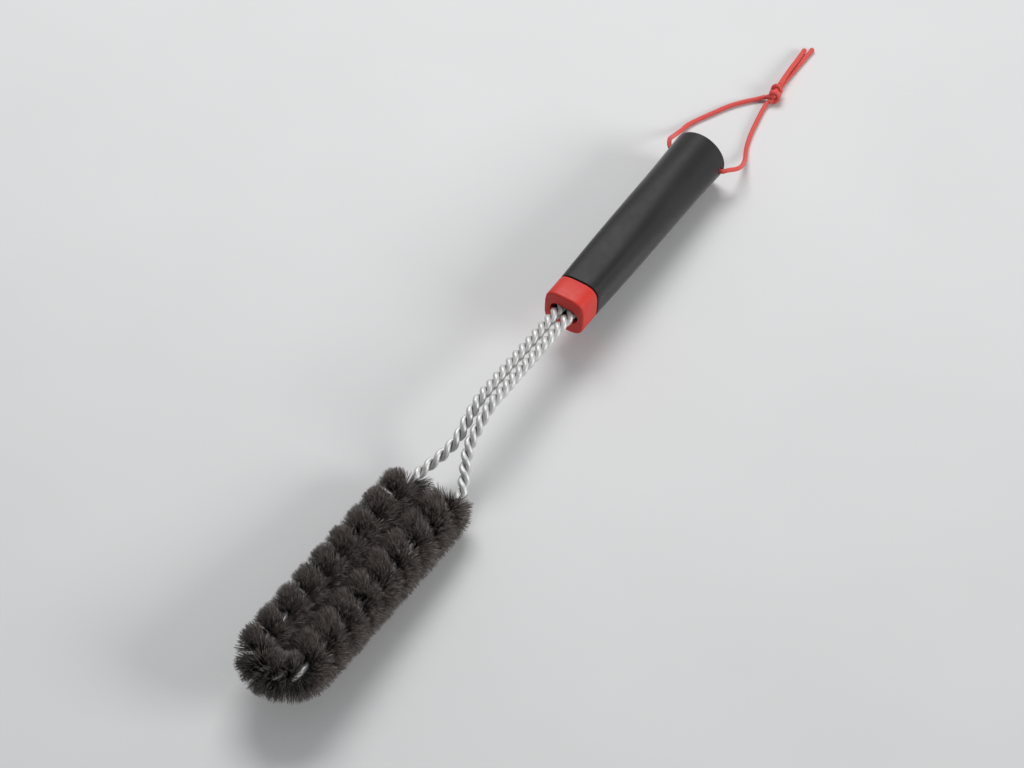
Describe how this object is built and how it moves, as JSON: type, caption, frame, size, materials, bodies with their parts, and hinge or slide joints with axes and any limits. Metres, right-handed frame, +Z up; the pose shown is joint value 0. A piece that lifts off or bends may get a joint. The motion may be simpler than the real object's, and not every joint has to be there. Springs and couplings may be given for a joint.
{
  "type": "grill cleaning brush",
  "caption": "Grill cleaning brush: bristles round a twisted-wire loop, cranked wire stem, tapered handle with collar and hanging cord.",
  "frame": {"origin": "bottom centre of the brush's box without its cord: the brush lies on z = 0 on the heel of its bristles and the butt of its handle", "axes": "+X along the brush from the head's tip to the handle's butt, +Y to the left of someone looking along +X, +Z up"},
  "size_m": [0.5263, 0.0526, 0.0428],
  "materials": {
    "grip": "charcoal moulded plastic, satin",
    "collar": "red moulded plastic, satin",
    "core": "black nylon",
    "wire": "galvanised wire",
    "fitting": "zinc plated",
    "bristles": "fine black nylon fibre",
    "cord": "red braided cord"
  },
  "bodies": {
    "brush": {"handle_grip": "grip", "butt_plug": "core", "front_collar": "collar", "core_upper": "core", "core_lower": "core", "crimp_band": "fitting", "core_screw_left": "fitting", "core_screw_right": "fitting", "wire_strand_a": "wire", "wire_strand_b": "wire", "bristles_left": "bristles", "bristles_right": "bristles", "bristles_tip": "bristles"},
    "hang_loop": {"hang_cord_inner": "cord", "hang_cord_left": "cord", "hang_cord_right": "cord", "hang_cord_knot": "cord", "hang_cord_tail_a": "cord", "hang_cord_tail_b": "cord"}
  },
  "joints": [
    {"name": "hang_loop_swing", "type": "hinge", "parent": "brush", "child": "hang_loop", "pos_m": [0.20481, 0, 0.01523], "axis": [0, -1, 0], "range_deg": [0, 160]}
  ]
}
